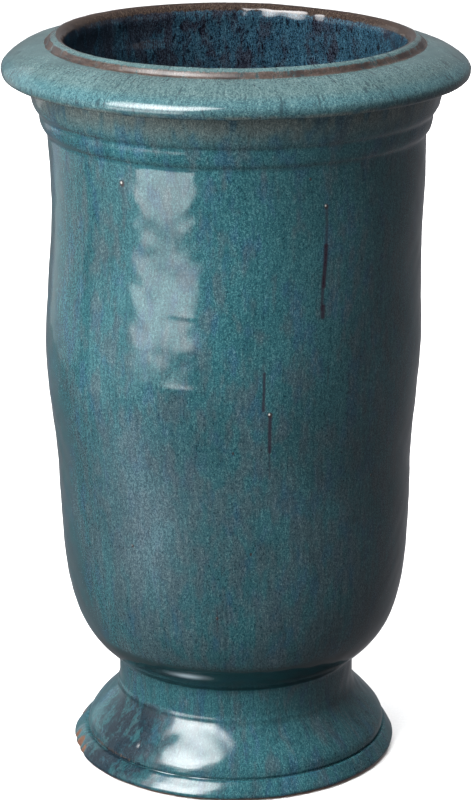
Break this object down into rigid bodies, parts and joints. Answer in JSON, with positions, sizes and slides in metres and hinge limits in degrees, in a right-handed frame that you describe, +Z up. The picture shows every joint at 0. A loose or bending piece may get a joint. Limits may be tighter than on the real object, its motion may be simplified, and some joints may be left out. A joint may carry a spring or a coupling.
{
  "type": "pedestal planter",
  "caption": "Tall glazed stoneware planter urn on a flared pedestal foot, with a wide rolled rim, a collar moulding, an open planting space and a drain hole in the floor.",
  "frame": {"origin": "centre of the ground ring, on the ground", "axes": "+Z up along the pot's own axis; X and Y are any two level directions, because the pot is round"},
  "size_m": [0.42, 0.42, 0.678],
  "materials": {
    "stoneware_clay": "bare fired clay, matt, orange-brown",
    "outer_glaze": "reactive teal glaze, semi-gloss, breaking brown on edges",
    "inner_glaze": "dark blue-teal reactive glaze, glossy"
  },
  "bodies": {
    "root": {"upper_wall": "stoneware_clay", "lower_wall": "stoneware_clay", "seam_coil": "stoneware_clay", "floor_slab": "stoneware_clay", "neck_ring": "stoneware_clay", "pedestal_foot": "stoneware_clay", "foot_bead": "stoneware_clay", "lower_collar_band": "stoneware_clay", "upper_collar_band": "stoneware_clay", "rim_flange": "stoneware_clay", "outer_glaze": "outer_glaze", "inner_glaze": "inner_glaze"}
  },
  "joints": []
}
